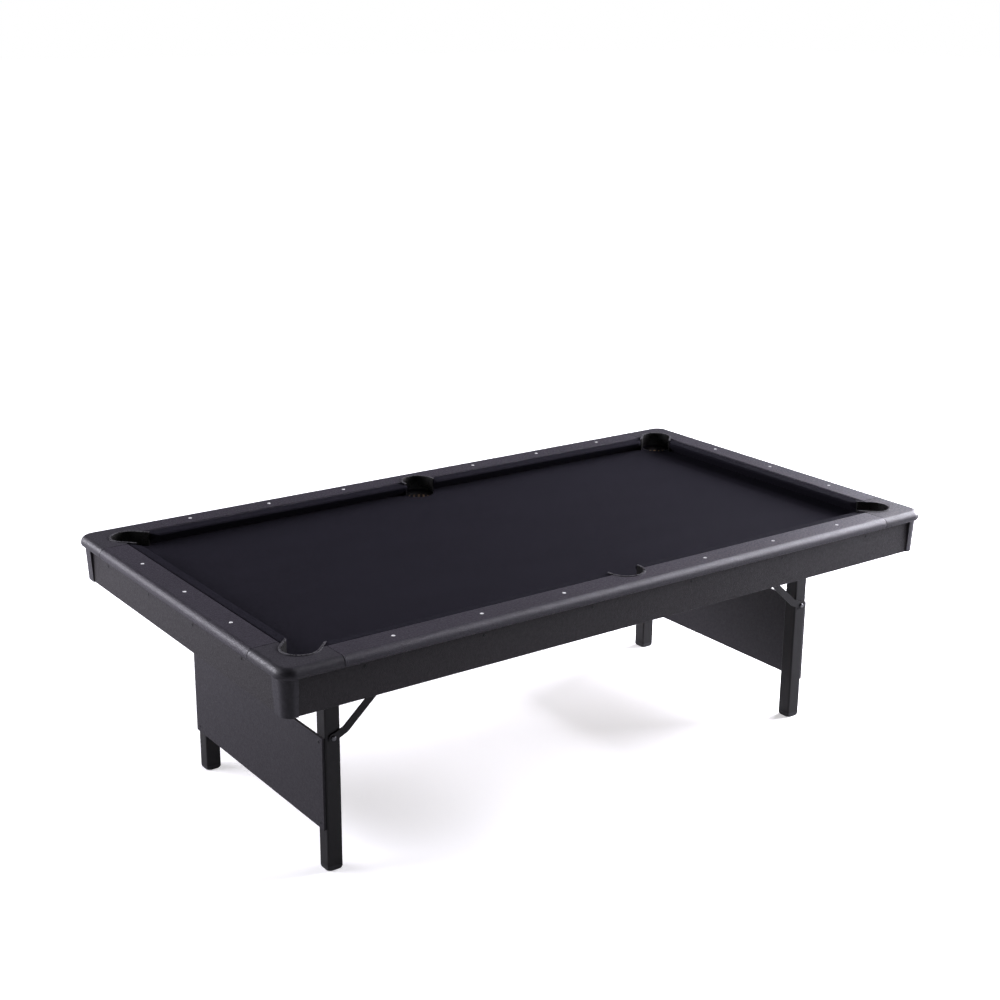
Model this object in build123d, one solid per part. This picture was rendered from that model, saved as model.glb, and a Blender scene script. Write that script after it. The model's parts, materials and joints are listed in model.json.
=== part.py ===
"""Eight-foot folding-leg pool table, built as separate pieces.

Millimetres, +Z up.  The floor is z = 0 and the table centre is the origin.
The long side runs along X.  "Front" is -Y, "back" is +Y, "left" is -X and
"right" is +X.  Each leg frame folds inward on a pivot under the bed, and each
leg carries a bent brace whose upper end runs along a guide under the bed.
"""
import math
import os

from build123d import *

# ---- overall size ---------------------------------------------------------
TABLE_HEIGHT = 787.0
RAIL_HALF_X = 1233.0
RAIL_HALF_Y = 686.0
RAIL_WIDTH = 94.0
RAIL_CORNER_RADIUS = 48.0
RAIL_LIP_Z = 753.0
RAIL_TOP_ROUND = 21.0
RAIL_LIP_ROUND = 11.0
SEAM_GAP = 2.5

# ---- bed, cloth and cushions ----------------------------------------------
BED_TOP = 741.0
BED_THICKNESS = 16.0
CLOTH_THICKNESS = 1.0
CUSHION_WIDTH = 42.0
CUSHION_NOSE_Z = 778.0

# ---- apron ----------------------------------------------------------------
APRON_HALF_X = 1212.0
APRON_HALF_Y = 664.0
APRON_THICKNESS = 16.0
APRON_BOTTOM = 642.0
CORNER_SPAN_X = 188.0
CORNER_SPAN_Y = 190.0
POST_PROUD = 3.0
POST_RADIUS = 29.0
POST_DRAFT = 3.0
POST_SPAN_X = 40.0
POST_SPAN_Y = 61.0
BOARD_END_GAP = 2.5
BOARD_EDGE_ROUND = 2.5

# ---- pockets --------------------------------------------------------------
CORNER_POCKET_RADIUS = 52.0
SIDE_POCKET_RADIUS = 55.0
LINER_WALL = 3.0
EAR_SETBACK = 15.0
RIM_HEIGHT = 1.6
RIM_OVERHANG = 3.5
CORNER_POCKET_INSET = 13.0
SIDE_POCKET_INSET = 27.0
JAW_FLARE = 5.0
BASKET_FLOOR_Z = 652.0
BASKET_SLOTS = 20
BASKET_SLOT_WIDTH = 8.0
BASKET_SLOT_TOP = 719.0
BASKET_SLOT_BOTTOM = 664.0
BASKET_FLANGE = 13.0
BASKET_FLANGE_THICKNESS = 3.0
BASKET_FLOOR_THICKNESS = 3.0
FLOOR_SLOT_START = 18.0
FLOOR_SLOT_END = 44.0
FLOOR_SLOT_WIDTH = 6.0

# ---- small fittings -------------------------------------------------------
SIGHT_RADIUS = 5.5
SIGHT_DEPTH = 1.6
SIGHT_PROUD = 0.4
SIGHT_ROUND = 0.3
SIGHT_INSET = 38.5
SIGHT_STEP_X = 292.5
SIGHT_SIDE_START = 276.0
SIGHT_STEP_Y = 295.0
SCREW_RADIUS = 4.2
SCREW_HEAD_HEIGHT = 1.2
SCREW_SLOT_LENGTH = 4.6
SCREW_SLOT_WIDTH = 0.9
SIDE_SCREW_STEP = 388.0
SIDE_SCREW_Z = 736.0
END_SCREW_FIRST = 484.0
END_SCREW_STEP = 301.0
END_SCREW_Z = 730.0

# ---- under the bed --------------------------------------------------------
BEAM_BOTTOM = 674.0
LONG_BEAM_Y = 180.0
BEAM_THICKNESS = 18.0
CROSS_BEAM_X = (-1010.0, -150.0, 150.0, 1010.0)

# ---- legs and braces ------------------------------------------------------
LEG_SIZE = 50.0
LEG_WALL = 2.0
LEG_CORNER_RADIUS = 5.0
LEG_X = 937.0
LEG_OUTER_Y = 421.0
PIVOT_Z = 690.0
LEG_ABOVE_PIVOT = 19.0
PANEL_THICKNESS = 8.0
PANEL_TOP = 426.0
PANEL_BOTTOM = 136.0
PANEL_SETBACK = 5.0
PANEL_SCREW_INSET = 17.0
FOOT_HEIGHT = 15.0
FOOT_EDGE_ROUND = 3.0
FOOT_CORNER_ROUND = 10.0
FOOT_PLUG_HEIGHT = 22.0
FOOT_CLEARANCE = 0.3
HINGE_PIN_RADIUS = 5.0
HINGE_HEAD_RADIUS = 9.0
BRACKET_STEEL = 3.0
BRACKET_CLEARANCE = 0.8
BRACKET_HALF_LENGTH = 36.0
BRACKET_HALF_WIDTH = 48.0
CHEEK_WIDTH = 40.0
BRACE_BOLT_RADIUS = 4.0
BOLT_HEAD_RADIUS = 7.5
BOLT_HEAD_HEIGHT = 4.6
NUT_RADIUS = 7.5
NUT_HEIGHT = 5.0
RUNNING_FIT = 0.05
SIDE_GAP = 0.4
BRACE_Z = 423.0
BRACE_BEND = (41.0, 441.6)
BRACE_TIP = (322.0, 697.0)
BRACE_WIDTH = 24.0
BRACE_EYE_RADIUS = 14.5
BRACE_THICKNESS = 4.0
BRACE_STUB_RADIUS = 4.0
GUIDE_THICKNESS = 3.0
GUIDE_FLANGE = 20.0
GUIDE_BOTTOM = 680.0
GUIDE_SLOT_WIDTH = 8.6
GUIDE_END = 24.0

# ---- derived positions ----------------------------------------------------
RAIL_INNER_X = RAIL_HALF_X - RAIL_WIDTH
RAIL_INNER_Y = RAIL_HALF_Y - RAIL_WIDTH
NOSE_X = RAIL_INNER_X - CUSHION_WIDTH
NOSE_Y = RAIL_INNER_Y - CUSHION_WIDTH
BED_BOTTOM = BED_TOP - BED_THICKNESS
CLOTH_TOP = BED_TOP + CLOTH_THICKNESS
CAVITY_X = APRON_HALF_X - APRON_THICKNESS
CAVITY_Y = APRON_HALF_Y - APRON_THICKNESS
SEAM_X = RAIL_HALF_X - CORNER_SPAN_X
SEAM_Y = RAIL_HALF_Y - CORNER_SPAN_Y
LEG_Y = LEG_OUTER_Y - LEG_SIZE / 2
CORNER_POCKET = (NOSE_X + CORNER_POCKET_INSET, NOSE_Y + CORNER_POCKET_INSET)
SIDE_POCKET = (0.0, NOSE_Y + SIDE_POCKET_INSET)
BRACE_Y = LEG_OUTER_Y + 2 * SIDE_GAP
BOLT_HEAD_Y = BRACE_Y + BRACE_THICKNESS + SIDE_GAP
GUIDE_Y = BOLT_HEAD_Y + BOLT_HEAD_HEIGHT + BRACKET_CLEARANCE
BRACE_REACH = math.hypot(BRACE_TIP[0], BRACE_TIP[1] - BRACE_Z)
BRACE_FOLDED_TIP_X = PIVOT_Z - BRACE_Z + math.sqrt(BRACE_REACH**2 - (BRACE_TIP[1] - PIVOT_Z) ** 2)


# ---- helpers --------------------------------------------------------------
def block(x0, x1, y0, y1, z0, z1):
    """A box given by its two opposite corners."""
    size = (abs(x1 - x0), abs(y1 - y0), abs(z1 - z0))
    centre = ((x0 + x1) / 2, (y0 + y1) / 2, (z0 + z1) / 2)
    return Pos(*centre) * Box(*size)


def flat(face, z0, z1):
    """A plan outline raised from z0 to z1."""
    return extrude(Pos(0, 0, z0) * face, amount=z1 - z0)


def rod_y(x, z, radius, y0, y1):
    """A round bar lying along Y."""
    middle = Pos(x, (y0 + y1) / 2, z)
    return middle * Rot(90, 0, 0) * Cylinder(radius, abs(y1 - y0))


def strip_xz(start, end, width, y0, y1):
    """A flat bar with round ends between two points of the XZ plane."""
    length = math.hypot(end[0] - start[0], end[1] - start[1])
    tilt = math.degrees(math.atan2(end[1] - start[1], end[0] - start[0]))
    middle = ((start[0] + end[0]) / 2, (start[1] + end[1]) / 2)
    outline = SlotCenterToCenter(length, width)
    bar = extrude(outline, amount=abs(y1 - y0) / 2, both=True)
    turned = Rot(90, 0, 0) * Rot(0, 0, tilt) * bar
    return Pos(middle[0], (y0 + y1) / 2, middle[1]) * turned


def mirrored(piece, sign_x, sign_y):
    """A copy of a piece modelled in the +X +Y quarter, put in another quarter."""
    result = piece
    if sign_x < 0:
        result = mirror(result, about=Plane.YZ)
    if sign_y < 0:
        result = mirror(result, about=Plane.XZ)
    return result


def single(piece):
    """The one solid of a piece, without an empty compound around it."""
    solids = piece.solids()
    return solids[0] if len(solids) == 1 else Compound(children=list(solids))


def group(pieces):
    """Several separate solids that share one node."""
    solids = []
    for piece in pieces:
        solids.extend(piece.solids())
    return Compound(children=solids)


# ---- pocket outlines (modelled in the +X +Y quarter) ----------------------
def pocket_place(corner):
    """Centre and clear radius of a corner or a side pocket."""
    if corner:
        return CORNER_POCKET, CORNER_POCKET_RADIUS
    return SIDE_POCKET, SIDE_POCKET_RADIUS


def pocket_slot(corner, margin, flare):
    """Plan of a pocket opening: a circle and the throat running to the bed."""
    centre, radius = pocket_place(corner)
    half_width = radius + margin
    turn = 45 if corner else 90
    reach = 150.0 if corner else 60.0
    throat = Polyline(
        (0, half_width),
        (-reach, half_width + flare),
        (-reach, -half_width - flare),
        (0, -half_width),
        close=True,
    )
    outline = make_face(throat) + Circle(half_width)
    return Pos(*centre) * Rot(0, 0, turn) * outline


def pocket_cutter(margin, flare):
    """Solids that clear all six pocket openings from a rail or cushion."""
    z0 = CLOTH_TOP - 5
    z1 = TABLE_HEIGHT + 5
    corner = flat(pocket_slot(True, margin, flare), z0, z1)
    side = flat(pocket_slot(False, margin, flare), z0, z1)
    cutters = [side, mirrored(side, 1, -1)]
    for sign_x in (-1, 1):
        for sign_y in (-1, 1):
            cutters.append(mirrored(corner, sign_x, sign_y))
    return cutters


def pocket_holes(z0, z1):
    """Round holes through the bed under all six pockets."""
    holes = []
    for corner in (True, False):
        centre, radius = pocket_place(corner)
        hole = flat(Pos(*centre) * Circle(radius + LINER_WALL), z0, z1)
        for sign_y in (-1, 1):
            holes.append(mirrored(hole, 1, sign_y))
            if corner:
                holes.append(mirrored(hole, -1, sign_y))
    return holes


# ---- bed ------------------------------------------------------------------
def playfield_bed():
    bed = block(-CAVITY_X, CAVITY_X, -CAVITY_Y, CAVITY_Y, BED_BOTTOM, BED_TOP)
    return bed - pocket_holes(BED_BOTTOM - 1, BED_TOP + 1)


def bed_cloth():
    half_x = CAVITY_X - 8
    half_y = CAVITY_Y - 8
    cloth = block(-half_x, half_x, -half_y, half_y, BED_TOP, CLOTH_TOP)
    return cloth - pocket_holes(BED_TOP - 1, CLOTH_TOP + 1)


# ---- cushions -------------------------------------------------------------
def cushion_profile():
    """Section of a cushion: distance in from the rail, height."""
    return [
        (0.0, TABLE_HEIGHT - 1.5),
        (8.0, TABLE_HEIGHT - 1.5),
        (CUSHION_WIDTH - 4.0, CUSHION_NOSE_Z + 3.5),
        (CUSHION_WIDTH - 1.0, CUSHION_NOSE_Z + 1.6),
        (CUSHION_WIDTH, CUSHION_NOSE_Z - 1.0),
        (CUSHION_WIDTH - 2.0, CUSHION_NOSE_Z - 4.0),
        (CUSHION_WIDTH - 22.0, CLOTH_TOP + 12.0),
        (10.0, CLOTH_TOP),
        (0.0, CLOTH_TOP),
    ]


def side_cushion_bar():
    """The back cushion before it is cut for the pockets, full length."""
    points = [(RAIL_INNER_Y - u, z) for u, z in cushion_profile()]
    outline = make_face(Polyline(*points, close=True))
    bar = extrude(Plane.YZ * outline, amount=NOSE_X, both=True)
    return bar - pocket_cutter(LINER_WALL + 0.4, JAW_FLARE)


def end_cushion_bar():
    """The right-hand cushion, cut for the two corner pockets."""
    points = [(RAIL_INNER_X - u, z) for u, z in cushion_profile()]
    outline = make_face(Polyline(*points, close=True))
    bar = extrude(Plane.XZ * outline, amount=NOSE_Y, both=True)
    return bar - pocket_cutter(LINER_WALL + 0.4, JAW_FLARE)


def largest(piece):
    """The biggest solid left after a cut."""
    return piece.solids().sort_by(SortBy.VOLUME)[-1]


def back_right_cushion():
    half = block(1, NOSE_X, NOSE_Y - 10, RAIL_HALF_Y, CLOTH_TOP - 5, TABLE_HEIGHT + 5)
    return largest(side_cushion_bar() & half)


# ---- top rails and corner caps -------------------------------------------
def rail_ring():
    """The whole rounded top rail as one ring, before it is parted."""
    outline = RectangleRounded(2 * RAIL_HALF_X, 2 * RAIL_HALF_Y, RAIL_CORNER_RADIUS)
    slab = flat(outline, RAIL_LIP_Z, TABLE_HEIGHT)
    top_edges = slab.faces().sort_by(Axis.Z)[-1].edges()
    slab = fillet(top_edges, RAIL_TOP_ROUND)
    lip_edges = slab.faces().sort_by(Axis.Z)[0].edges()
    slab = fillet(lip_edges, RAIL_LIP_ROUND)
    base = block(-CAVITY_X, CAVITY_X, -CAVITY_Y, CAVITY_Y, CLOTH_TOP, RAIL_LIP_Z)
    hole = block(
        -RAIL_INNER_X, RAIL_INNER_X, -RAIL_INNER_Y, RAIL_INNER_Y,
        CLOTH_TOP - 5, TABLE_HEIGHT + 5,
    )
    ring = slab + base - hole
    return ring - pocket_cutter(LINER_WALL, 0.0)


def rail_box(x0, x1, y0, y1):
    return block(x0, x1, y0, y1, CLOTH_TOP - 5, TABLE_HEIGHT + 5)


def corner_post():
    """Upright rounded skirt of a corner cap, a little wider at the top."""
    half_x = APRON_HALF_X + POST_PROUD
    half_y = APRON_HALF_Y + POST_PROUD
    outline = RectangleRounded(2 * half_x, 2 * half_y, POST_RADIUS)
    height = RAIL_LIP_Z - APRON_BOTTOM
    post = extrude(Pos(0, 0, APRON_BOTTOM) * outline, amount=height, taper=-POST_DRAFT)
    quarter = block(
        half_x - POST_SPAN_X, RAIL_HALF_X, half_y - POST_SPAN_Y, RAIL_HALF_Y,
        APRON_BOTTOM, RAIL_LIP_Z,
    )
    cavity = block(0, CAVITY_X, 0, CAVITY_Y, APRON_BOTTOM, RAIL_LIP_Z)
    return (post & quarter) - cavity - side_apron_board() - end_apron_board()


def corner_cap(ring):
    quarter = rail_box(SEAM_X, RAIL_HALF_X + 1, SEAM_Y, RAIL_HALF_Y + 1)
    return (ring & quarter) + corner_post()


def sight_spots():
    """Centres of the eighteen round sights in the rail tops."""
    spots = []
    side_y = RAIL_HALF_Y - RAIL_WIDTH + SIGHT_INSET
    end_x = RAIL_HALF_X - RAIL_WIDTH + SIGHT_INSET
    for sign_y in (-1, 1):
        for sign_x in (-1, 1):
            for step in range(3):
                x = SIGHT_SIDE_START + step * SIGHT_STEP_X
                spots.append((sign_x * x, sign_y * side_y))
    for sign_x in (-1, 1):
        for step in (-1, 0, 1):
            spots.append((sign_x * end_x, step * SIGHT_STEP_Y))
    return spots


def sight_inlays():
    inlays = []
    for x, y in sight_spots():
        top = TABLE_HEIGHT + SIGHT_PROUD
        disc = flat(Pos(x, y) * Circle(SIGHT_RADIUS), TABLE_HEIGHT - SIGHT_DEPTH, top)
        inlays.append(fillet(disc.edges().sort_by(Axis.Z)[-1], SIGHT_ROUND))
    return group(inlays)


def sight_holes():
    holes = []
    for x, y in sight_spots():
        top = TABLE_HEIGHT + 1
        holes.append(flat(Pos(x, y) * Circle(SIGHT_RADIUS), TABLE_HEIGHT - SIGHT_DEPTH, top))
    return holes


# ---- apron ----------------------------------------------------------------
def side_apron_board():
    """The back apron, between the two corner posts."""
    half = CAVITY_X - BOARD_END_GAP
    board = block(-half, half, CAVITY_Y, APRON_HALF_Y, APRON_BOTTOM, RAIL_LIP_Z)
    low_edges = board.faces().sort_by(Axis.Z)[0].edges().filter_by(Axis.X)
    return fillet(low_edges.sort_by(Axis.Y)[-1], BOARD_EDGE_ROUND)


def end_apron_board():
    """The right-hand apron."""
    half = CAVITY_Y - BOARD_END_GAP
    board = block(CAVITY_X, APRON_HALF_X, -half, half, APRON_BOTTOM, RAIL_LIP_Z)
    low_edges = board.faces().sort_by(Axis.Z)[0].edges().filter_by(Axis.Y)
    return fillet(low_edges.sort_by(Axis.X)[-1], BOARD_EDGE_ROUND)


def screw_head():
    """A low cross-slotted screw head standing on a face that looks to +Z."""
    head = Cylinder(SCREW_RADIUS, SCREW_HEAD_HEIGHT, align=(Align.CENTER, Align.CENTER, Align.MIN))
    head = fillet(head.edges().sort_by(Axis.Z)[-1], SCREW_HEAD_HEIGHT * 2 / 3)
    across = Pos(0, 0, SCREW_HEAD_HEIGHT) * Box(SCREW_SLOT_LENGTH, SCREW_SLOT_WIDTH, 1)
    return head - across - Rot(0, 0, 90) * across


def apron_screws():
    screws = []
    for step in range(6):
        x = (step - 2.5) * SIDE_SCREW_STEP
        screws.append(Pos(x, -APRON_HALF_Y, SIDE_SCREW_Z) * Rot(90, 0, 0) * screw_head())
        screws.append(Pos(x, APRON_HALF_Y, SIDE_SCREW_Z) * Rot(-90, 0, 0) * screw_head())
    for step in range(4):
        y = END_SCREW_FIRST - step * END_SCREW_STEP
        screws.append(Pos(-APRON_HALF_X, y, END_SCREW_Z) * Rot(0, -90, 0) * screw_head())
        screws.append(Pos(APRON_HALF_X, -y, END_SCREW_Z) * Rot(0, 90, 0) * screw_head())
    return group(screws)


# ---- pockets --------------------------------------------------------------
def pocket_liner(corner):
    """Moulded liner: a U of wall between the jaws, a rim, and the bed ring."""
    centre, radius = pocket_place(corner)
    outer = pocket_slot(corner, LINER_WALL, 0.0)
    inner = pocket_slot(corner, 0.0, 0.0)
    rim = pocket_slot(corner, LINER_WALL + RIM_OVERHANG, 0.0)
    rim_top = TABLE_HEIGHT + RIM_HEIGHT
    wall = flat(outer, CLOTH_TOP, TABLE_HEIGHT) + flat(rim, TABLE_HEIGHT, rim_top)
    wall = wall - flat(inner, CLOTH_TOP - 1, rim_top + 1)
    bed_side = block(
        -NOSE_X, NOSE_X + EAR_SETBACK, -NOSE_Y, NOSE_Y + EAR_SETBACK, CLOTH_TOP - 1, rim_top + 1,
    )
    ring = Pos(*centre) * (Circle(radius + LINER_WALL) - Circle(radius))
    return wall - bed_side + flat(ring, BED_BOTTOM, CLOTH_TOP)


def pocket_basket(corner):
    """Ball basket hung under the bed: flange, ribbed wall and slotted floor."""
    centre, radius = pocket_place(corner)
    flange_bottom = BED_BOTTOM - BASKET_FLANGE_THICKNESS
    floor_top = BASKET_FLOOR_Z + BASKET_FLOOR_THICKNESS
    flange = Circle(radius + BASKET_FLANGE) - Circle(radius)
    wall = Circle(radius + LINER_WALL) - Circle(radius)
    basket = flat(flange, flange_bottom, BED_BOTTOM)
    basket += flat(wall, BASKET_FLOOR_Z, flange_bottom)
    basket += flat(Circle(radius), BASKET_FLOOR_Z, floor_top)
    window = block(
        radius - LINER_WALL, radius + 2 * LINER_WALL,
        -BASKET_SLOT_WIDTH / 2, BASKET_SLOT_WIDTH / 2,
        BASKET_SLOT_BOTTOM, BASKET_SLOT_TOP,
    )
    floor_slot = block(
        FLOOR_SLOT_START, FLOOR_SLOT_END, -FLOOR_SLOT_WIDTH / 2, FLOOR_SLOT_WIDTH / 2,
        BASKET_FLOOR_Z - 1, floor_top + 1,
    )
    cuts = []
    for step in range(BASKET_SLOTS):
        turn = Rot(0, 0, step * 360 / BASKET_SLOTS)
        cuts.append(turn * window)
        if step % 2 == 0:
            cuts.append(turn * floor_slot)
    return Pos(centre[0], centre[1], 0) * (basket - cuts)


# ---- under the bed --------------------------------------------------------
def bed_long_beams():
    beams = []
    half = BEAM_THICKNESS / 2
    for y in (-LONG_BEAM_Y, LONG_BEAM_Y):
        beams.append(block(-CAVITY_X, CAVITY_X, y - half, y + half, BEAM_BOTTOM, BED_BOTTOM))
    return group(beams)


def bed_cross_beams():
    beams = []
    half = BEAM_THICKNESS / 2
    inner = LONG_BEAM_Y - half
    outer = LONG_BEAM_Y + half
    for x in CROSS_BEAM_X:
        for y0, y1 in ((-CAVITY_Y, -outer), (-inner, inner), (outer, CAVITY_Y)):
            beams.append(block(x - half, x + half, y0, y1, BEAM_BOTTOM, BED_BOTTOM))
    return group(beams)


def cheek_span(outer):
    """Y range of one cheek of a hinge fork."""
    if outer:
        start = LEG_OUTER_Y + BRACKET_CLEARANCE
        return start, start + BRACKET_STEEL
    end = LEG_OUTER_Y - LEG_SIZE - BRACKET_CLEARANCE
    return end - BRACKET_STEEL, end


def hinge_bracket():
    """Fork under the bed that holds the top of one leg (+X +Y quarter)."""
    plate_z = BED_BOTTOM - BRACKET_STEEL
    fork = block(
        LEG_X - BRACKET_HALF_LENGTH, LEG_X + BRACKET_HALF_LENGTH,
        LEG_Y - BRACKET_HALF_WIDTH, LEG_Y + BRACKET_HALF_WIDTH, plate_z, BED_BOTTOM,
    )
    for outer in (False, True):
        y0, y1 = cheek_span(outer)
        top = (LEG_X, plate_z + CHEEK_WIDTH / 2)
        cheek = strip_xz((LEG_X, PIVOT_Z), top, CHEEK_WIDTH, y0, y1)
        below = block(LEG_X - CHEEK_WIDTH, LEG_X + CHEEK_WIDTH, y0, y1, PIVOT_Z - CHEEK_WIDTH, plate_z)
        fork += cheek & below
    return fork - rod_y(LEG_X, PIVOT_Z, HINGE_PIN_RADIUS, LEG_Y - LEG_SIZE, LEG_Y + LEG_SIZE)


def hex_nut(x, z, radius, y0, y1):
    """A six-sided nut lying along Y."""
    plan = Plane((x, y0, z), x_dir=(1, 0, 0), z_dir=(0, 1, 0)) * RegularPolygon(radius, 6)
    return extrude(plan, amount=y1 - y0)


def hinge_pin():
    """Cross bolt through a hinge fork, with a head and a nut."""
    head_y = cheek_span(True)[1]
    nut_y = cheek_span(False)[0]
    head_height = HINGE_HEAD_RADIUS / 2
    pin = rod_y(LEG_X, PIVOT_Z, HINGE_PIN_RADIUS, nut_y - 2 * head_height, head_y)
    head = rod_y(LEG_X, PIVOT_Z, HINGE_HEAD_RADIUS, head_y, head_y + head_height)
    nut = hex_nut(LEG_X, PIVOT_Z, HINGE_HEAD_RADIUS, nut_y - head_height, nut_y)
    return pin + head + nut


def brace_guide():
    """Angle under the bed with the long slot that guides a brace tip."""
    slot_start = (LEG_X - BRACE_FOLDED_TIP_X, BRACE_TIP[1])
    slot_end = (LEG_X - BRACE_TIP[0], BRACE_TIP[1])
    start = slot_start[0] - GUIDE_END
    end = slot_end[0] + GUIDE_END
    flange_y = GUIDE_Y + GUIDE_THICKNESS
    flange_z = BED_BOTTOM - GUIDE_THICKNESS
    web = block(start, end, GUIDE_Y, flange_y, GUIDE_BOTTOM, BED_BOTTOM)
    flange = block(start, end, flange_y, flange_y + GUIDE_FLANGE, flange_z, BED_BOTTOM)
    slot = strip_xz(slot_start, slot_end, GUIDE_SLOT_WIDTH, GUIDE_Y - 1, flange_y + 1)
    return web + flange - slot


# ---- legs (modelled in the +X +Y quarter, standing) -----------------------
def leg_plan(size, corner):
    return Pos(LEG_X, LEG_Y) * RectangleRounded(size, size, corner)


def leg_tube():
    top = PIVOT_Z + LEG_ABOVE_PIVOT
    bottom = FOOT_HEIGHT + FOOT_CLEARANCE
    bore = leg_plan(LEG_SIZE - 2 * LEG_WALL, LEG_CORNER_RADIUS - LEG_WALL)
    tube = flat(leg_plan(LEG_SIZE, LEG_CORNER_RADIUS), bottom, top)
    tube -= flat(bore, bottom - 1, top + 1)
    y0 = LEG_Y - LEG_SIZE
    y1 = LEG_Y + LEG_SIZE
    tube -= rod_y(LEG_X, PIVOT_Z, HINGE_PIN_RADIUS + RUNNING_FIT, y0, y1)
    return tube - rod_y(LEG_X, BRACE_Z, BRACE_BOLT_RADIUS, y0, y1)


def rounded_below(axis):
    """A block over the foot whose two lower edges along one axis are rounded."""
    half = LEG_SIZE / 2
    slab = block(LEG_X - half, LEG_X + half, LEG_Y - half, LEG_Y + half, 0, FOOT_HEIGHT)
    edges = slab.faces().sort_by(Axis.Z)[0].edges().filter_by(axis)
    return fillet(edges, FOOT_EDGE_ROUND)


def round_glide():
    """A round puck over the foot that takes its lower corners off."""
    reach = LEG_SIZE / 2 * math.sqrt(2) - LEG_CORNER_RADIUS * (math.sqrt(2) - 1)
    puck = Pos(LEG_X, LEG_Y, FOOT_HEIGHT / 2) * Cylinder(reach, FOOT_HEIGHT)
    return fillet(puck.edges().sort_by(Axis.Z)[0], FOOT_CORNER_ROUND)


def foot_cap():
    """Plastic glide flush with the tube, rounded below, with a plug above."""
    glide = flat(leg_plan(LEG_SIZE, LEG_CORNER_RADIUS), 0, FOOT_HEIGHT)
    glide = glide & rounded_below(Axis.X) & rounded_below(Axis.Y) & round_glide()
    plug_size = LEG_SIZE - 2 * LEG_WALL - 2 * FOOT_CLEARANCE
    plug = flat(leg_plan(plug_size, LEG_WALL), FOOT_HEIGHT, FOOT_HEIGHT + FOOT_PLUG_HEIGHT)
    return glide + plug


def leg_panel():
    """Board across the outer faces of the two right-hand legs."""
    face_x = LEG_X + LEG_SIZE / 2
    half = LEG_OUTER_Y - PANEL_SETBACK
    return block(face_x, face_x + PANEL_THICKNESS, -half, half, PANEL_BOTTOM, PANEL_TOP)


def panel_screws():
    """Four screws that hold the right-hand panel to its legs."""
    x = LEG_X + LEG_SIZE / 2 + PANEL_THICKNESS
    screws = []
    for y in (-LEG_Y, LEG_Y):
        for z in (PANEL_BOTTOM + PANEL_SCREW_INSET, PANEL_TOP - PANEL_SCREW_INSET):
            screws.append(Pos(x, y, z) * Rot(0, 90, 0) * screw_head())
    return group(screws)


def brace_bolt():
    """Bolt through a leg that the brace turns on."""
    nut_y = LEG_OUTER_Y - LEG_SIZE
    shank = rod_y(LEG_X, BRACE_Z, BRACE_BOLT_RADIUS, nut_y - NUT_HEIGHT - 2, BOLT_HEAD_Y)
    head = rod_y(LEG_X, BRACE_Z, BOLT_HEAD_RADIUS, BOLT_HEAD_Y, BOLT_HEAD_Y + BOLT_HEAD_HEIGHT)
    head = fillet(head.edges().sort_by(Axis.Y)[-1], BOLT_HEAD_HEIGHT / 2)
    return shank + head + hex_nut(LEG_X, BRACE_Z, NUT_RADIUS, nut_y - NUT_HEIGHT, nut_y)


def leg_brace():
    """Bent flat bar from the leg bolt up to the guide under the bed."""
    y0 = BRACE_Y
    y1 = BRACE_Y + BRACE_THICKNESS
    foot = (LEG_X, BRACE_Z)
    bend = (LEG_X - BRACE_BEND[0], BRACE_BEND[1])
    tip = (LEG_X - BRACE_TIP[0], BRACE_TIP[1])
    bar = strip_xz(bend, foot, BRACE_WIDTH, y0, y1) + strip_xz(tip, bend, BRACE_WIDTH, y0, y1)
    eye = rod_y(foot[0], foot[1], BRACE_EYE_RADIUS, y0, y1)
    stub = rod_y(tip[0], tip[1], BRACE_STUB_RADIUS, y1, GUIDE_Y - SIDE_GAP)
    hole = rod_y(foot[0], foot[1], BRACE_BOLT_RADIUS + RUNNING_FIT, y0 - 1, y1 + 1)
    return bar + eye + stub - hole


# ---- assembly -------------------------------------------------------------
SIDES = (("left", -1), ("right", 1))
ENDS = (("front", -1), ("back", 1))


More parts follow.
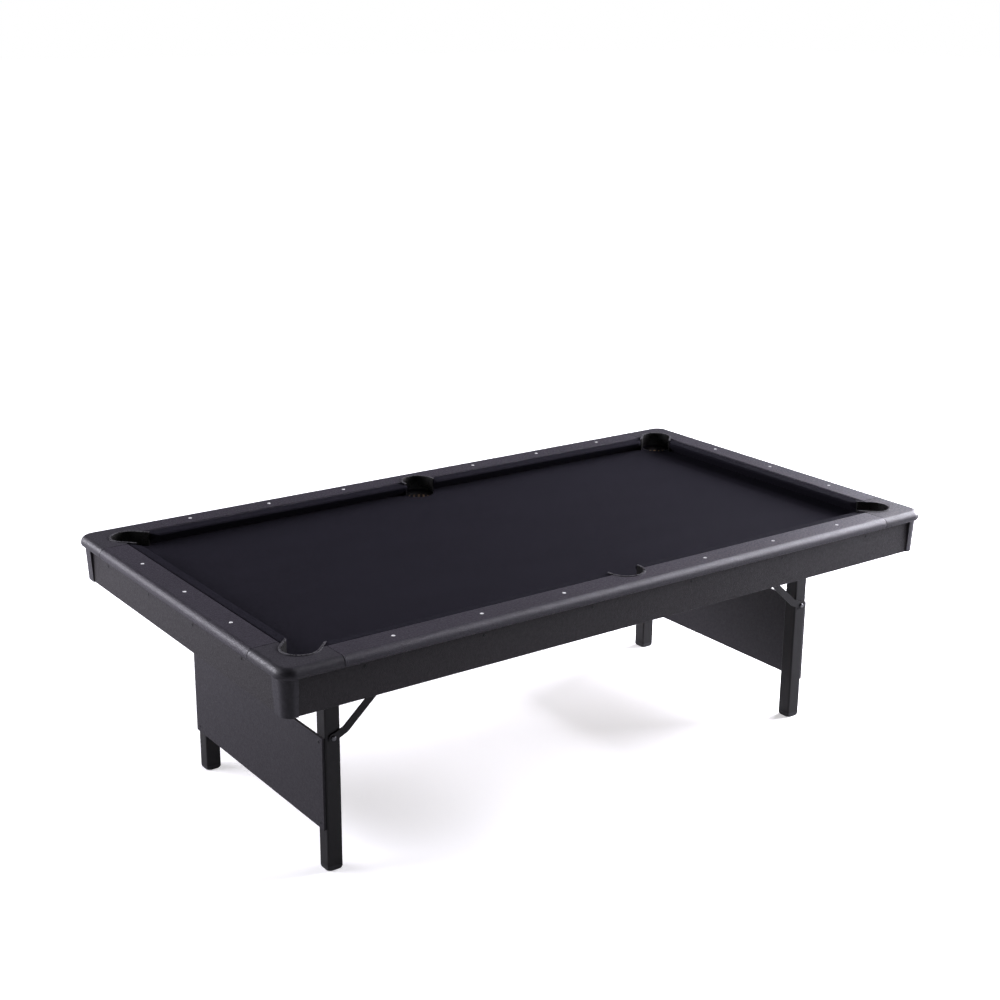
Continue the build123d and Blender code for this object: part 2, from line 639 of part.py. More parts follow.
def build_nodes():
    nodes = {"playfield_bed": playfield_bed(), "bed_cloth": bed_cloth()}
    ring = rail_ring()
    holes = sight_holes()
    seam_x = SEAM_X - SEAM_GAP
    seam_y = SEAM_Y - SEAM_GAP
    back_rail = (ring & rail_box(-seam_x, seam_x, 0, RAIL_HALF_Y + 1)) - holes
    right_rail = (ring & rail_box(0, RAIL_HALF_X + 1, -seam_y, seam_y)) - holes
    cap = corner_cap(ring)
    cushion = back_right_cushion()
    corner_liner = pocket_liner(True)
    corner_basket = pocket_basket(True)
    side_liner = pocket_liner(False)
    side_basket = pocket_basket(False)

    for end, sign_y in ENDS:
        nodes["top_rail_" + end] = mirrored(back_rail, 1, sign_y)
        nodes["apron_" + end] = mirrored(side_apron_board(), 1, sign_y)
        nodes["pocket_liner_" + end + "_middle"] = mirrored(side_liner, 1, sign_y)
        nodes["pocket_basket_" + end + "_middle"] = mirrored(side_basket, 1, sign_y)
        for side, sign_x in SIDES:
            corner = end + "_" + side
            nodes["corner_cap_" + corner] = mirrored(cap, sign_x, sign_y)
            nodes["cushion_" + corner] = mirrored(cushion, sign_x, sign_y)
            nodes["pocket_liner_" + corner] = mirrored(corner_liner, sign_x, sign_y)
            nodes["pocket_basket_" + corner] = mirrored(corner_basket, sign_x, sign_y)

    end_cushion = largest(end_cushion_bar())
    for side, sign_x in SIDES:
        nodes["top_rail_" + side] = mirrored(right_rail, sign_x, 1)
        nodes["apron_" + side] = mirrored(end_apron_board(), sign_x, 1)
        nodes["cushion_" + side + "_end"] = mirrored(end_cushion, sign_x, 1)

    nodes["sight_inlays"] = sight_inlays()
    nodes["apron_screws"] = apron_screws()
    nodes["bed_long_beams"] = bed_long_beams()
    nodes["bed_cross_beams"] = bed_cross_beams()
    nodes["leg_hinge_brackets"] = four_of(hinge_bracket())
    nodes["leg_hinge_pins"] = four_of(hinge_pin())
    nodes["brace_guides"] = four_of(brace_guide())
    add_leg_frames(nodes)
    return nodes


def four_of(piece):
    """The same piece in all four quarters."""
    return group([mirrored(piece, sx, sy) for sx in (-1, 1) for sy in (-1, 1)])


def add_leg_frames(nodes):
    tube = leg_tube()
    foot = foot_cap()
    panel = leg_panel()
    screws = panel_screws()
    bolt = brace_bolt()
    brace = leg_brace()
    for side, sign_x in SIDES:
        nodes[side + "_leg_panel"] = mirrored(panel, sign_x, 1)
        nodes[side + "_foot_caps"] = group([mirrored(foot, sign_x, s) for s in (-1, 1)])
        nodes[side + "_panel_screws"] = group([mirrored(screws, sign_x, 1)])
        nodes[side + "_brace_bolts"] = group([mirrored(bolt, sign_x, s) for s in (-1, 1)])
        for end, sign_y in ENDS:
            nodes[side + "_" + end + "_leg"] = mirrored(tube, sign_x, sign_y)
            nodes[side + "_" + end + "_brace"] = mirrored(brace, sign_x, sign_y)


def main():
    os.makedirs("parts", exist_ok=True)
    for name, shape in build_nodes().items():
        export_step(single(shape), "parts/" + name + ".step")
        box = shape.bounding_box()
        print(name, len(shape.solids()), round(box.min.Z, 1), round(box.max.Z, 1))


if __name__ == "__main__":
    main()
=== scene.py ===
"""Looks of an eight-foot folding-leg pool table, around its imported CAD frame.

Metres, +Z up, origin on the floor under the table's centre.  The long side
runs along X, and the front is -Y.
"""

import json
import math

import bmesh
import bpy
from mathutils import Matrix, Vector
from mathutils.geometry import delaunay_2d_cdt


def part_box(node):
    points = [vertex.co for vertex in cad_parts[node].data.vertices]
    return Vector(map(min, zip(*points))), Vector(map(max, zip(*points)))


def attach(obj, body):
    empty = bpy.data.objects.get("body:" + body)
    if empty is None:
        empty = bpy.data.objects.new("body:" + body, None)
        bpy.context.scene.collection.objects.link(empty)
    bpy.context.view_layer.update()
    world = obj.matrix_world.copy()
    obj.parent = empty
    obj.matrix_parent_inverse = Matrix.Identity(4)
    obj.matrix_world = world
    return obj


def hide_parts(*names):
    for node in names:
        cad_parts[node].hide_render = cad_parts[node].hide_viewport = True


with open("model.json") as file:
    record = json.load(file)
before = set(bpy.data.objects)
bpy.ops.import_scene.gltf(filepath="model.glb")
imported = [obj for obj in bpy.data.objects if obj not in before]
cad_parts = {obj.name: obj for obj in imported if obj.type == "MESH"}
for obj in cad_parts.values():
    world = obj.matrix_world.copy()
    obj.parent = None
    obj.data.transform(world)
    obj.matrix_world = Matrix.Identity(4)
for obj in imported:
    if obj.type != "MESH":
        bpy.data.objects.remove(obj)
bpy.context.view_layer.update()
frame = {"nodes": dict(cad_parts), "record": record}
NODES = frame["nodes"]

# ---- camera ------------------------------------------------------------------
CAMERA_EYE = Vector((-3.029, -4.123, 2.436))
CAMERA_AIM = Vector((0.55924, 0.77500, -0.29432))
CAMERA_ROLL = math.radians(0.48)
CAMERA_LENS = 58.64
SENSOR_WIDTH = 36.0
CLIP_END = 200.0

# ---- places taken from the frame ---------------------------------------------
CLOTH_LOW, CLOTH_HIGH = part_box("bed_cloth")
BED_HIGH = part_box("playfield_bed")[1]
CLOTH_TOP = CLOTH_HIGH.z
BASKET_FLANGE = 0.013


def pocket_centres():
    """Centre and hole radius of each pocket, from the basket nodes."""
    found = {}
    for name in NODES:
        if name.startswith("pocket_basket_"):
            low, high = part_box(name)
            centre = (low + high) / 2
            radius = (high.x - low.x) / 2 - BASKET_FLANGE
            found[name.replace("pocket_basket_", "")] = (centre.x, centre.y, radius)
    return found


POCKETS = pocket_centres()


# ---- node-tree helper ----------------------------------------------------------
class Surface:
    """One procedural material: a Principled shader and short ways to feed it."""

    def __init__(self, name, **fixed):
        self.material = bpy.data.materials.new(name)
        self.material.use_nodes = True
        self.tree = self.material.node_tree
        self.shader = self.tree.nodes["Principled BSDF"]
        for socket, value in fixed.items():
            self.shader.inputs[socket.replace("_", " ")].default_value = value
        self.place = self.add("ShaderNodeTexCoord").outputs["Object"]

    def add(self, kind, **settings):
        node = self.tree.nodes.new(kind)
        for key, value in settings.items():
            setattr(node, key, value)
        return node

    def link(self, source, target):
        self.tree.links.new(source, target)

    def feed(self, node, socket, value):
        """Links an output, or sets a plain value."""
        if isinstance(value, bpy.types.NodeSocket):
            self.link(value, node.inputs[socket])
        else:
            node.inputs[socket].default_value = value

    def stretched(self, scale):
        """Object coordinates with a scale for each axis."""
        node = self.add("ShaderNodeMapping")
        self.link(self.place, node.inputs["Vector"])
        node.inputs["Scale"].default_value = scale
        return node.outputs["Vector"]

    def noise(self, scale, detail=3.0, roughness=0.55, vector=None, distortion=0.0):
        node = self.add("ShaderNodeTexNoise")
        self.link(vector or self.place, node.inputs["Vector"])
        node.inputs["Scale"].default_value = scale
        node.inputs["Detail"].default_value = detail
        node.inputs["Roughness"].default_value = roughness
        node.inputs["Distortion"].default_value = distortion
        return node.outputs["Fac"]

    def cells(self, scale, smooth=None):
        """Distance to scattered cell centres, with rounded valleys if smooth is given."""
        feature = "F1" if smooth is None else "SMOOTH_F1"
        node = self.add("ShaderNodeTexVoronoi", feature=feature)
        self.link(self.place, node.inputs["Vector"])
        node.inputs["Scale"].default_value = scale
        if smooth is not None:
            node.inputs["Smoothness"].default_value = smooth
        return node.outputs["Distance"]

    def waves(self, scale, axis, distortion):
        node = self.add("ShaderNodeTexWave", wave_type="BANDS", bands_direction=axis)
        self.link(self.place, node.inputs["Vector"])
        node.inputs["Scale"].default_value = scale
        node.inputs["Distortion"].default_value = distortion
        node.inputs["Detail"].default_value = 1.0
        return node.outputs["Fac"]

    def math(self, operation, a, b=0.0, c=0.0):
        node = self.add("ShaderNodeMath", operation=operation)
        self.feed(node, 0, a)
        self.feed(node, 1, b)
        self.feed(node, 2, c)
        return node.outputs[0]

    def ramp(self, value, low, high, to_low=0.0, to_high=1.0):
        node = self.add("ShaderNodeMapRange")
        self.feed(node, "Value", value)
        node.inputs["From Min"].default_value = low
        node.inputs["From Max"].default_value = high
        node.inputs["To Min"].default_value = to_low
        node.inputs["To Max"].default_value = to_high
        return node.outputs["Result"]

    def mix(self, factor, a, b):
        node = self.add("ShaderNodeMix", data_type="RGBA")
        self.feed(node, "Factor", factor)
        for socket, value in ((6, a), (7, b)):
            if isinstance(value, bpy.types.NodeSocket):
                self.link(value, node.inputs[socket])
            else:
                node.inputs[socket].default_value = (*value, 1.0)
        return node.outputs[2]

    def bump(self, height, distance, strength=1.0):
        node = self.add("ShaderNodeBump")
        self.link(height, node.inputs["Height"])
        node.inputs["Distance"].default_value = distance
        node.inputs["Strength"].default_value = strength
        return node.outputs["Normal"]

    def axis(self, name):
        node = self.add("ShaderNodeSeparateXYZ")
        self.link(self.place, node.inputs[0])
        return node.outputs[name]

    def color(self, value):
        self.feed(self.shader, "Base Color", value)

    def rough(self, value):
        self.link(value, self.shader.inputs["Roughness"])

    def normal(self, value):
        self.link(value, self.shader.inputs["Normal"])


def scaled(color, factor):
    return tuple(min(1.0, channel * factor) for channel in color)


# ---- materials -------------------------------------------------------------------
RAIL_COLOR = (0.036, 0.032, 0.041)
APRON_COLOR = (0.0190, 0.0162, 0.0178)
CAP_COLOR = (0.034, 0.0315, 0.0375)
PANEL_COLOR = (0.0188, 0.0165, 0.0205)
METAL_COLOR = (0.0092, 0.0084, 0.0086)
CLOTH_COLOR = (0.0085, 0.0078, 0.0112)
BOARD_COLOR = (0.30, 0.215, 0.135)
LINER_COLOR = (0.0085, 0.0083, 0.0078)
# painted highlight: the pale colour of the liner's raised rim, where the light catches it
RIM_HIGHLIGHT_COLOR = (0.062, 0.060, 0.064)
BASKET_COLOR = (0.020, 0.020, 0.0185)
SCREW_COLOR = (0.012, 0.012, 0.013)
BRACKET_COLOR = (0.56, 0.56, 0.58)
BOLT_COLOR = (0.16, 0.16, 0.165)
FOOT_COLOR = (0.018, 0.018, 0.019)
PEARL_SHADE = (0.78, 0.78, 0.76)
PEARL_LIGHT = (0.95, 0.95, 0.94)
RIM_BASE = 0.78715  # the liner is painted paler above this height, a painted highlight on its rim
INNER_FACE_SLACK = 0.0006
WEAVE_SCALE = 900.0


def pebbled(name, color, grain, depth, rough, spec=0.35):
    """Charcoal wrap or moulding with a fine pebbled grain, its pits darkened as painted shade."""
    s = Surface(name, Specular_IOR_Level=spec)
    broad = s.noise(2.3, detail=2.0)
    mottle = s.noise(95.0, detail=3.0, roughness=0.6)
    pits = s.cells(grain, smooth=0.35)
    fine = s.noise(grain * 2.2, detail=2.0, roughness=0.6)
    tone = s.mix(s.ramp(broad, 0.35, 0.65), scaled(color, 0.90), scaled(color, 1.10))
    speck = s.mix(s.ramp(mottle, 0.42, 0.62), scaled(color, 0.76), scaled(color, 1.26))
    blended = s.mix(0.45, tone, speck)
    # painted shade: the grain's pits, which the bump below sinks, are darkened toward their
    # centres
    s.color(s.mix(s.ramp(pits, 0.0, 0.55, 0.35, 0.0), blended, scaled(color, 0.45)))
    height = s.math("MULTIPLY_ADD", fine, 0.35, pits)
    blotch = s.noise(150.0, detail=3.0, roughness=0.65)
    s.rough(s.ramp(blotch, 0.35, 0.65, rough - 0.11, rough + 0.12))
    s.normal(s.bump(height, depth))
    return s


def rail_laminate():
    s = pebbled("rail_laminate", RAIL_COLOR, grain=340.0, depth=0.0008, rough=0.45)
    return s.material


def corner_plastic():
    s = pebbled("corner_plastic", CAP_COLOR, grain=1500.0, depth=0.00012, rough=0.46)
    return s.material


def inside_mask(s):
    """1 on the faces that look into the cavity under the bed."""
    x = s.math("ABSOLUTE", s.axis("X"))
    y = s.math("ABSOLUTE", s.axis("Y"))
    in_x = s.math("LESS_THAN", x, BED_HIGH.x + INNER_FACE_SLACK)
    in_y = s.math("LESS_THAN", y, BED_HIGH.y + INNER_FACE_SLACK)
    return s.math("MULTIPLY", in_x, in_y)


def apron_laminate():
    """Charcoal wrap outside, bare board on the inner face."""
    s = pebbled("apron_laminate", APRON_COLOR, grain=420.0, depth=0.0005, rough=0.5, spec=0.3)
    wrapped = s.shader.inputs["Base Color"].links[0].from_socket
    chips = s.noise(260.0, detail=4.0, roughness=0.7)
    bare = s.mix(s.ramp(chips, 0.35, 0.68), scaled(BOARD_COLOR, 0.72), scaled(BOARD_COLOR, 1.15))
    s.color(s.mix(inside_mask(s), wrapped, bare))
    return s.material


def panel_laminate():
    s = pebbled("panel_laminate", PANEL_COLOR, grain=900.0, depth=0.00018, rough=0.5)
    return s.material


def raw_board(name, color):
    """Bare fibreboard: short pressed fibres, slightly blotched."""
    s = Surface(name, Specular_IOR_Level=0.2)
    fibre = s.noise(420.0, detail=4.0, roughness=0.7, vector=s.stretched((1.0, 1.0, 3.0)))
    blotch = s.noise(9.0, detail=3.0)
    base = s.mix(s.ramp(fibre, 0.32, 0.7), scaled(color, 0.74), scaled(color, 1.14))
    s.color(s.mix(s.ramp(blotch, 0.4, 0.65, 0.0, 0.25), base, scaled(color, 0.6)))
    s.rough(s.ramp(fibre, 0.3, 0.7, 0.78, 0.92))
    s.normal(s.bump(fibre, 0.0004))
    return s.material


def billiard_cloth(name, color, worn):
    """Close-woven napped wool: a fine weave under short fibres."""
    s = Surface(
        name,
        Specular_IOR_Level=0.02,
        Sheen_Weight=0.004,
        Sheen_Roughness=0.5,
        Sheen_Tint=(0.72, 0.72, 0.95, 1.0),
    )
    warp = s.waves(WEAVE_SCALE, "X", distortion=1.2)
    weft = s.waves(WEAVE_SCALE, "Y", distortion=1.2)
    weave = s.math("MULTIPLY", warp, weft)
    nap = s.noise(1400.0, detail=3.0, roughness=0.7)
    drift = s.noise(5.0, detail=3.0, roughness=0.6, vector=s.stretched((0.5, 1.6, 1.0)))
    tuft = s.noise(170.0, detail=4.0, roughness=0.72)
    tone = s.mix(s.ramp(drift, 0.38, 0.64), scaled(color, 1.0 - worn), scaled(color, 1.0 + worn))
    fuzz = s.mix(s.ramp(tuft, 0.35, 0.68), scaled(color, 0.72), scaled(color, 1.38))
    mixed = s.mix(0.5, tone, fuzz)
    s.color(s.mix(s.ramp(nap, 0.35, 0.75, 0.0, 0.35), mixed, scaled(color, 1.9)))
    s.rough(s.ramp(tuft, 0.3, 0.7, 0.86, 0.97))
    height = s.math("MULTIPLY_ADD", nap, 0.8, weave)
    s.normal(s.bump(height, 0.0003, strength=0.7))
    return s.material


def powder_coat(name, color, rough):
    """Satin powder coat on steel, with a light orange peel."""
    s = Surface(name, Specular_IOR_Level=0.34)
    peel = s.noise(520.0, detail=2.0, roughness=0.5)
    broad = s.noise(6.0, detail=3.0)
    scuff = s.noise(38.0, detail=6.0, roughness=0.75, vector=s.stretched((1.0, 1.0, 0.25)))
    tone = s.mix(s.ramp(broad, 0.35, 0.65), scaled(color, 0.86), scaled(color, 1.16))
    s.color(s.mix(s.ramp(scuff, 0.63, 0.72, 0.0, 0.25), tone, scaled(color, 2.6)))
    s.rough(s.ramp(scuff, 0.35, 0.7, rough - 0.05, rough + 0.12))
    s.normal(s.bump(peel, 0.00022))
    return s.material


def moulded(name, color, rough, spec=0.4):
    """Plain moulded plastic with a matt spark-eroded texture."""
    s = Surface(name, Specular_IOR_Level=spec)
    spark = s.noise(1700.0, detail=2.0, roughness=0.6)
    broad = s.noise(14.0, detail=3.0)
    s.color(s.mix(s.ramp(broad, 0.35, 0.65), scaled(color, 0.85), scaled(color, 1.18)))
    s.rough(s.ramp(spark, 0.3, 0.7, rough - 0.07, rough + 0.07))
    s.normal(s.bump(spark, 0.0001))
    return s.material


def liner_plastic():
    """Black pocket liner whose raised rim is painted paler, a painted highlight where it catches
    the light.
    """
    s = Surface("liner_plastic", Specular_IOR_Level=0.28)
    scuff = s.noise(150.0, detail=4.0, roughness=0.7)
    mould = s.noise(900.0, detail=2.0, roughness=0.6)
    raised = s.math("GREATER_THAN", s.axis("Z"), RIM_BASE)
    # painted highlight: the rim above RIM_BASE gets a pale, speckled colour standing in for light
    # on its raised edge
    worn = s.mix(s.ramp(scuff, 0.42, 0.6), scaled(RIM_HIGHLIGHT_COLOR, 0.45), scaled(RIM_HIGHLIGHT_COLOR, 1.7))
    plain = s.mix(s.ramp(mould, 0.35, 0.65), scaled(LINER_COLOR, 0.7), LINER_COLOR)
    s.color(s.mix(raised, plain, worn))
    s.rough(s.ramp(scuff, 0.3, 0.7, 0.22, 0.42))
    s.normal(s.bump(scuff, 0.0003))
    return s.material


def pearl():
    """White glossy sight with a faint pearly cloud."""
    s = Surface("sight_pearl", Coat_Weight=0.6, Coat_Roughness=0.08)
    cloud = s.noise(330.0, detail=4.0, roughness=0.6, distortion=1.4)
    s.color(s.mix(s.ramp(cloud, 0.35, 0.65), PEARL_SHADE, PEARL_LIGHT))
    s.rough(s.ramp(cloud, 0.3, 0.7, 0.18, 0.3))
    return s.material


def zinc(name, color, rough):
    """Bright zinc plate with a cloudy spangle and rolling lines."""
    s = Surface(name, Metallic=1.0)
    spangle = s.cells(190.0)
    lines = s.noise(60.0, detail=5.0, roughness=0.7, vector=s.stretched((1.0, 14.0, 14.0)))
    s.color(s.mix(s.ramp(spangle, 0.1, 0.7), scaled(color, 0.82), scaled(color, 1.12)))
    s.rough(s.ramp(lines, 0.3, 0.7, rough - 0.1, rough + 0.12))
    s.normal(s.bump(lines, 0.00008))
    return s.material


MATERIALS = {
    "rail_laminate": rail_laminate(),
    "corner_plastic": corner_plastic(),
    "apron_laminate": apron_laminate(),
    "panel_laminate": panel_laminate(),
    "bed_board": raw_board("bed_board", BOARD_COLOR),
    "beam_wood": raw_board("beam_wood", scaled(BOARD_COLOR, 1.1)),
    "cloth": billiard_cloth("cloth", CLOTH_COLOR, worn=0.10),
    "cushion_cloth": billiard_cloth("cushion_cloth", scaled(CLOTH_COLOR, 0.95), worn=0.06),
    "liner_plastic": liner_plastic(),
    "basket_plastic": moulded("basket_plastic", BASKET_COLOR, rough=0.35, spec=0.5),
    "sight_pearl": pearl(),
    "screw_black": powder_coat("screw_black", SCREW_COLOR, rough=0.4),
    "bracket_steel": zinc("bracket_steel", BRACKET_COLOR, rough=0.4),
    "bolt_steel": zinc("bolt_steel", BOLT_COLOR, rough=0.42),
    "leg_paint": powder_coat("leg_paint", METAL_COLOR, rough=0.42),
    "brace_paint": powder_coat("brace_paint", scaled(METAL_COLOR, 0.9), rough=0.42),
    "foot_plastic": moulded("foot_plastic", FOOT_COLOR, rough=0.5),
}


def paint(piece, slot):
    piece.data.materials.clear()
    piece.data.materials.append(MATERIALS[slot])


def paint_cad_nodes():
    for part in frame["record"]["subparts"]:
        paint(NODES[part["node"]], part["material_slot"])


# ---- mesh helpers --------------------------------------------------------------
def finish_mesh(name, bm, slot):
    """Turns a bmesh into a smooth piece that rides on the table and has its material."""
    bmesh.ops.recalc_face_normals(bm, faces=bm.faces)
    mesh = bpy.data.meshes.new(name)
    bm.to_mesh(mesh)
    bm.free()
    piece = bpy.data.objects.new(name, mesh)
    bpy.context.scene.collection.objects.link(piece)
    for polygon in mesh.polygons:
        polygon.use_smooth = True
    paint(piece, slot)
    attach(piece, "table")
    return piece


# ---- soft pieces -----------------------------------------------------------------
CUSHION_SECTION = (
    (0.0000, 0.0345), (0.0016, 0.0346), (0.0030, 0.0385), (0.0044, 0.0418), (0.0066, 0.0432),
    (0.0105, 0.0433), (0.0180, 0.0424), (0.0270, 0.0412), (0.0345, 0.0401), (0.0385, 0.0390),
    (0.0407, 0.0374),
    (0.0417, 0.0354), (0.0413, 0.0334), (0.0396, 0.0309), (0.0355, 0.0262), (0.0295, 0.0202),
    (0.0235, 0.0142), (0.0175, 0.0082), (0.0125, 0.0032), (0.0100, 0.0008), (0.0060, 0.0004),
    (0.0000, 0.0004),
)
SECTION_CENTRE = Vector((0.019, 0.024))
SECTION_STEPS = 3
END_STATIONS = (0.0, 0.0008, 0.002, 0.0038, 0.006, 0.009, 0.013, 0.018, 0.024, 0.030, 0.04)
STATION_STEP = 0.03
FEWEST_STATIONS = 8
CORNER_CUT = 1.068
SIDE_CUT = 0.10
END_ROUND = 0.006
END_SHRINK = 0.07
PLEAT_REACH = 0.030
PLEAT_DEPTH = 0.0005
PLEAT_COUNT = 9
RIPPLE_DEPTH = 0.00022
RIPPLE_WAVES = 47.0
RIPPLE_FADE = 19.0
RIPPLE_TWIST = 5.0
SKIN_INSET = 0.0004
GLUED_WIDTH = 0.008
RAIL_CLEARANCE = 0.0002


def smooth_through(points, steps):
    """A Catmull-Rom curve through open section points."""
    curve = []
    last = len(points) - 1
    for i in range(last):
        p0 = Vector(points[max(i - 1, 0)])
        p1 = Vector(points[i])
        p2 = Vector(points[i + 1])
        p3 = Vector(points[min(i + 2, last)])
        for step in range(steps):
            t = step / steps
            a = 2 * p1
            b = (p2 - p0) * t
            c = (2 * p0 - 5 * p1 + 4 * p2 - p3) * t * t
            d = (3 * p1 - p0 - 3 * p2 + p3) * t * t * t
            curve.append((a + b + c + d) / 2)
    curve.append(Vector(points[last]))
    return curve


def stations(length):
    """Distances along a cushion, close together towards both ends."""
    reach = END_STATIONS[-1]
    count = max(FEWEST_STATIONS, int(length / STATION_STEP))
    middle = [reach + (length - 2 * reach) * i / count for i in range(1, count)]
    return [*END_STATIONS, *middle, *(length - d for d in reversed(END_STATIONS))]


def cushion(node, along, inward, cut_low, cut_high):
    """Cloth-covered rubber cushion: full rounded nose, tucked top, pleated ends."""
    low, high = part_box(node)
    index = 0 if along.x else 1
    start = low[index]
    finish = high[index]
    rail = high if (inward.x + inward.y) < 0 else low
    section = smooth_through(CUSHION_SECTION, SECTION_STEPS)
    bm = bmesh.new()
    rings = []
    for place in stations(finish - start):
        from_end = min(place, finish - start - place)
        shrink = END_SHRINK * max(0.0, 1.0 - from_end / END_ROUND) ** 2
        pleat = PLEAT_DEPTH * max(0.0, 1.0 - from_end / PLEAT_REACH)
        share = place / (finish - start)
        ring = []
        for k, point in enumerate(section):
            angle = 2 * math.pi * k / len(section)
            wave = math.sin(RIPPLE_WAVES * place + RIPPLE_TWIST * angle)
            ripple = RIPPLE_DEPTH * wave * math.sin(RIPPLE_FADE * place)
            out = (point - SECTION_CENTRE).normalized()
            free = min(1.0, point.x / GLUED_WIDTH)
            push = free * (pleat * math.sin(PLEAT_COUNT * angle) + ripple - SKIN_INSET)
            u, z = point + (SECTION_CENTRE - point) * shrink + out * push
            u = max(u, RAIL_CLEARANCE)
            first = start + cut_low * u
            final = finish - cut_high * u
            spot = Vector((0.0, 0.0, low.z + z))
            spot[index] = first + (final - first) * share
            spot[1 - index] = rail[1 - index] + inward[1 - index] * u
            ring.append(bm.verts.new(spot))
        rings.append(ring)
    for a, b in zip(rings, rings[1:]):
        for k in range(len(section)):
            n = (k + 1) % len(section)
            bm.faces.new((a[k], a[n], b[n], b[k]))
    bm.faces.new(rings[0])
    bm.faces.new(list(reversed(rings[-1])))
    piece = finish_mesh(node + "_cloth", bm, "cushion_cloth")
    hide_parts(node)


def cushions():
    across = Vector((1.0, 0.0, 0.0))
    up_table = Vector((0.0, 1.0, 0.0))
    for end, sign in (("front", 1.0), ("back", -1.0)):
        inward = up_table * sign
        cushion("cushion_" + end + "_left", across, inward, CORNER_CUT, SIDE_CUT)
        cushion("cushion_" + end + "_right", across, inward, SIDE_CUT, CORNER_CUT)
    for side, sign in (("left", 1.0), ("right", -1.0)):
        cushion("cushion_" + side + "_end", up_table, across * sign, CORNER_CUT, CORNER_CUT)


CLOTH_CELL = 0.035
HOLE_STEPS = 40
HOLE_CLEARANCE = 0.012
HOLE_TOLERANCE = 0.001
MERGE_DISTANCE = 1e-6
HOLE_ROLL = (
    (0.0045, 0.00025), (0.0020, 0.0002), (0.0004, -0.0010), (-0.0004, -0.0040), (-0.0004, -0.0110),
)


def cloth_layout():
    """Plan points of the bed cloth: an edge, pocket holes and a loose grid."""
    points = []
    edges = []

    def loop(ring):
        first = len(points)
        points.extend(ring)
        for k in range(len(ring)):
            edges.append((first + k, first + (k + 1) % len(ring)))

    x0, y0, x1, y1 = CLOTH_LOW.x, CLOTH_LOW.y, CLOTH_HIGH.x, CLOTH_HIGH.y
    loop([(x0, y0), (x1, y0), (x1, y1), (x0, y1)])
    for cx, cy, radius in POCKETS.values():
        ring = []
        reach = radius + HOLE_ROLL[0][0]
        for k in range(HOLE_STEPS):
            turn = 2 * math.pi * k / HOLE_STEPS
            ring.append((cx + reach * math.cos(turn), cy + reach * math.sin(turn)))
        loop(ring)
    shift = 0.0
    y = y0 + CLOTH_CELL
    while y < y1 - CLOTH_CELL / 2:
        x = x0 + CLOTH_CELL + shift
        while x < x1 - CLOTH_CELL / 2:
            holes = POCKETS.values()
            if all(math.hypot(x - cx, y - cy) > r + HOLE_CLEARANCE for cx, cy, r in holes):
                points.append((x, y))
            x += CLOTH_CELL
        shift = CLOTH_CELL / 2 - shift
        y += CLOTH_CELL
    return points, edges


def inside_hole(corners, cx, cy, radius):
    """True if all these points lie on or within one pocket's hole edge."""
    reach = radius + HOLE_ROLL[0][0] + HOLE_TOLERANCE
    return all(math.hypot(p.x - cx, p.y - cy) < reach for p in corners)


def bed_cloth():
    """The stretched bed cloth, rolled down into each pocket hole."""
    points, edges = cloth_layout()
    plan = [Vector(p) for p in points]
    spots, _, faces, _, _, _ = delaunay_2d_cdt(plan, edges, [], 0, MERGE_DISTANCE)
    top = CLOTH_TOP + HOLE_ROLL[0][1]
    bm = bmesh.new()
    verts = [bm.verts.new((p.x, p.y, top)) for p in spots]
    for face in faces:
        corners = [spots[i] for i in face]
        if not any(inside_hole(corners, *pocket) for pocket in POCKETS.values()):
            bm.faces.new([verts[i] for i in face])
    loose = [v for v in bm.verts if not v.link_faces]
    bmesh.ops.delete(bm, geom=loose, context="VERTS")
    for cx, cy, radius in POCKETS.values():
        roll_into_pocket(bm, cx, cy, radius)
    area = sum(face.calc_area() for face in bm.faces)
    piece = finish_mesh("bed_cloth_sheet", bm, "cloth")
    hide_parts("bed_cloth")


def roll_into_pocket(bm, cx, cy, radius):
    """Carries the cloth's hole edge down over the rim of one pocket, ring by ring."""

    def bearing(vert):
        return math.atan2(vert.co.y - cy, vert.co.x - cx)

    rim = [vert for vert in bm.verts if inside_hole([vert.co], cx, cy, radius)]
    rim.sort(key=bearing)
    for reach, drop in HOLE_ROLL[1:]:
        ring = []
        for vert in rim:
            x = cx + (radius + reach) * math.cos(bearing(vert))
            y = cy + (radius + reach) * math.sin(bearing(vert))
            ring.append(bm.verts.new((x, y, CLOTH_TOP + drop)))
        for k in range(len(rim)):
            n = (k + 1) % len(rim)
            bm.faces.new((rim[k], rim[n], ring[n], ring[k]))
        rim = ring


# ---- stage -----------------------------------------------------------------------
FLOOR_SIZE = 120.0
FLOOR_SEEN = (0.90, 0.90, 0.905)
FLOOR_BOUNCE = (0.40, 0.40, 0.41)
FLOOR_LIFT_NEAR = 0.42
FLOOR_LIFT_FAR = 1.0
LIFT_START = 1.6
LIFT_END = 5.0
WORLD_LIGHT = (0.93, 0.95, 1.0)
WORLD_STRENGTH = 0.05
LIGHT_DISTANCE = 6.0
LIGHT_TARGET = Vector((0.0, 0.0, 0.7))
LIGHT_HEIGHT = 2.2
LIGHT_COLOR = (0.985, 0.970, 1.070)


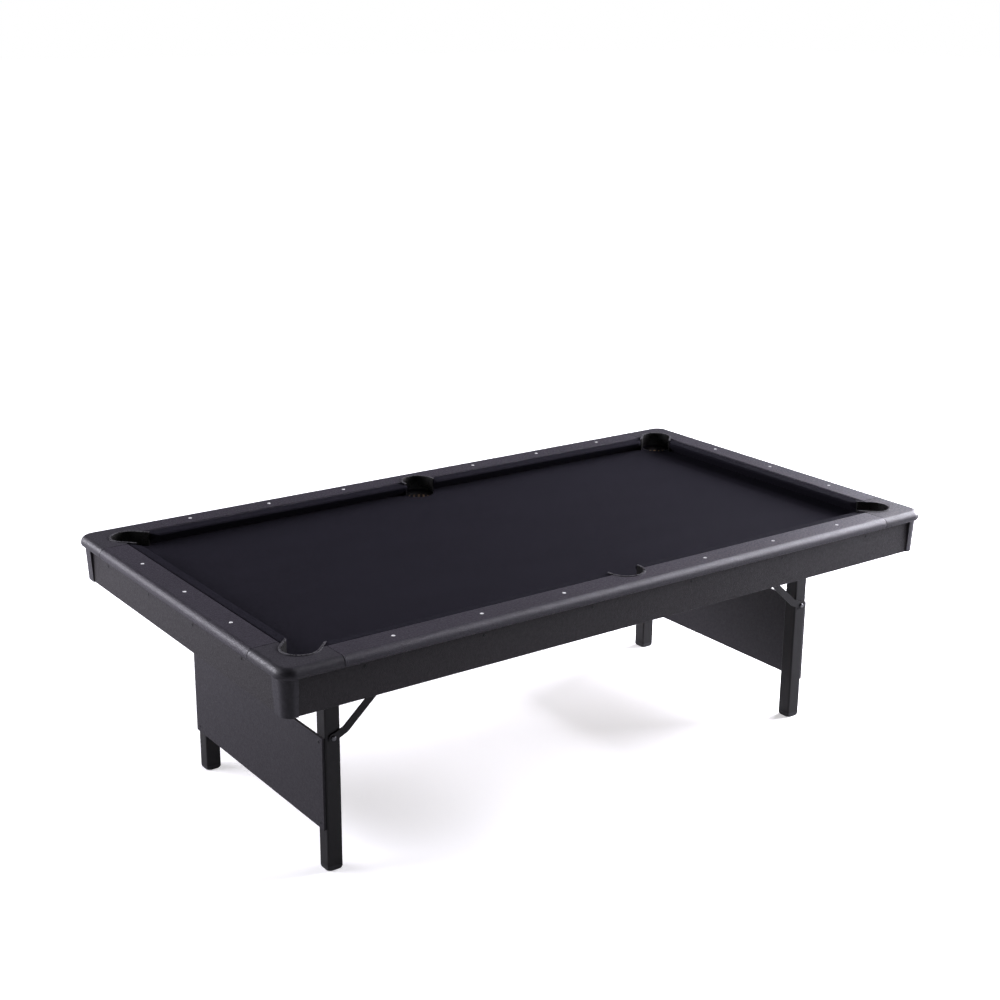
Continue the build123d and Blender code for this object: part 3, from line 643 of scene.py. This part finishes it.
def floor():
    """A pale floor, lifted towards white in view, and clear from below."""
    s = Surface("studio_floor", Specular_IOR_Level=0.1)
    grain = s.noise(3.0, detail=4.0)
    seen = s.add("ShaderNodeLightPath").outputs["Is Camera Ray"]
    s.color(s.mix(seen, FLOOR_BOUNCE, FLOOR_SEEN))
    s.rough(s.ramp(grain, 0.3, 0.7, 0.8, 0.9))
    reach = s.add("ShaderNodeVectorMath", operation="LENGTH")
    s.link(s.place, reach.inputs[0])
    lift = s.ramp(reach.outputs["Value"], LIFT_START, LIFT_END, FLOOR_LIFT_NEAR, FLOOR_LIFT_FAR)
    s.shader.inputs["Emission Color"].default_value = (1.0, 1.0, 1.0, 1.0)
    s.link(s.math("MULTIPLY", seen, lift), s.shader.inputs["Emission Strength"])
    below = s.add("ShaderNodeNewGeometry").outputs["Backfacing"]
    clear = s.add("ShaderNodeBsdfTransparent").outputs[0]
    choose = s.add("ShaderNodeMixShader")
    s.link(below, choose.inputs[0])
    s.link(s.shader.outputs[0], choose.inputs[1])
    s.link(clear, choose.inputs[2])
    s.link(choose.outputs[0], s.tree.nodes["Material Output"].inputs["Surface"])
    bpy.ops.mesh.primitive_plane_add(size=FLOOR_SIZE)
    plane = bpy.context.object
    plane.name = "studio_floor"
    plane.data.materials.append(s.material)


def softbox(name, azimuth, elevation, width, power):
    """A large soft light that faces the table from one direction."""
    turn = math.radians(azimuth)
    rise = math.radians(elevation)
    level = math.cos(rise)
    way = Vector((level * math.cos(turn), level * math.sin(turn), math.sin(rise)))
    data = bpy.data.lights.new(name, "AREA")
    data.shape = "RECTANGLE"
    data.size = width
    data.size_y = LIGHT_HEIGHT
    data.energy = power
    data.color = LIGHT_COLOR
    lamp = bpy.data.objects.new(name, data)
    lamp.location = LIGHT_TARGET + way * LIGHT_DISTANCE
    lamp.rotation_mode = "QUATERNION"
    lamp.rotation_quaternion = (-way).to_track_quat("-Z", "Y")
    bpy.context.scene.collection.objects.link(lamp)


def studio_lights():
    """A wide key on the right, a lift above it, and a fill at the back left."""
    softbox("key_right", azimuth=-3.0, elevation=14.5, width=5.0, power=1250.0)
    softbox("lift_right", azimuth=-15.0, elevation=35.0, width=3.0, power=220.0)
    softbox("fill_left", azimuth=142.0, elevation=17.0, width=5.0, power=460.0)


def world_light():
    """White backdrop for the camera, a faint grey surround for the table."""
    world = bpy.data.worlds.new("studio")
    world.use_nodes = True
    tree = world.node_tree
    surround = tree.nodes["Background"]
    surround.inputs["Color"].default_value = (*WORLD_LIGHT, 1.0)
    surround.inputs["Strength"].default_value = WORLD_STRENGTH
    backdrop = tree.nodes.new("ShaderNodeBackground")
    backdrop.inputs["Color"].default_value = (1.0, 1.0, 1.0, 1.0)
    seen = tree.nodes.new("ShaderNodeLightPath")
    choose = tree.nodes.new("ShaderNodeMixShader")
    tree.links.new(seen.outputs["Is Camera Ray"], choose.inputs[0])
    tree.links.new(surround.outputs[0], choose.inputs[1])
    tree.links.new(backdrop.outputs[0], choose.inputs[2])
    tree.links.new(choose.outputs[0], tree.nodes["World Output"].inputs["Surface"])
    bpy.context.scene.world = world


def camera():
    """The photograph's viewpoint."""
    data = bpy.data.cameras.new("camera")
    data.sensor_width = SENSOR_WIDTH
    data.lens = CAMERA_LENS
    data.clip_end = CLIP_END
    cam = bpy.data.objects.new("camera", data)
    cam.rotation_mode = "QUATERNION"
    level = CAMERA_AIM.to_track_quat("-Z", "Y")
    cam.rotation_quaternion = level @ Matrix.Rotation(CAMERA_ROLL, 3, "Z").to_quaternion()
    cam.location = CAMERA_EYE
    bpy.context.scene.collection.objects.link(cam)
    bpy.context.scene.camera = cam


# ---- build -----------------------------------------------------------------------
bpy.context.scene.view_settings.view_transform = "Standard"
paint_cad_nodes()
cushions()
bed_cloth()
floor()
world_light()
studio_lights()
camera()
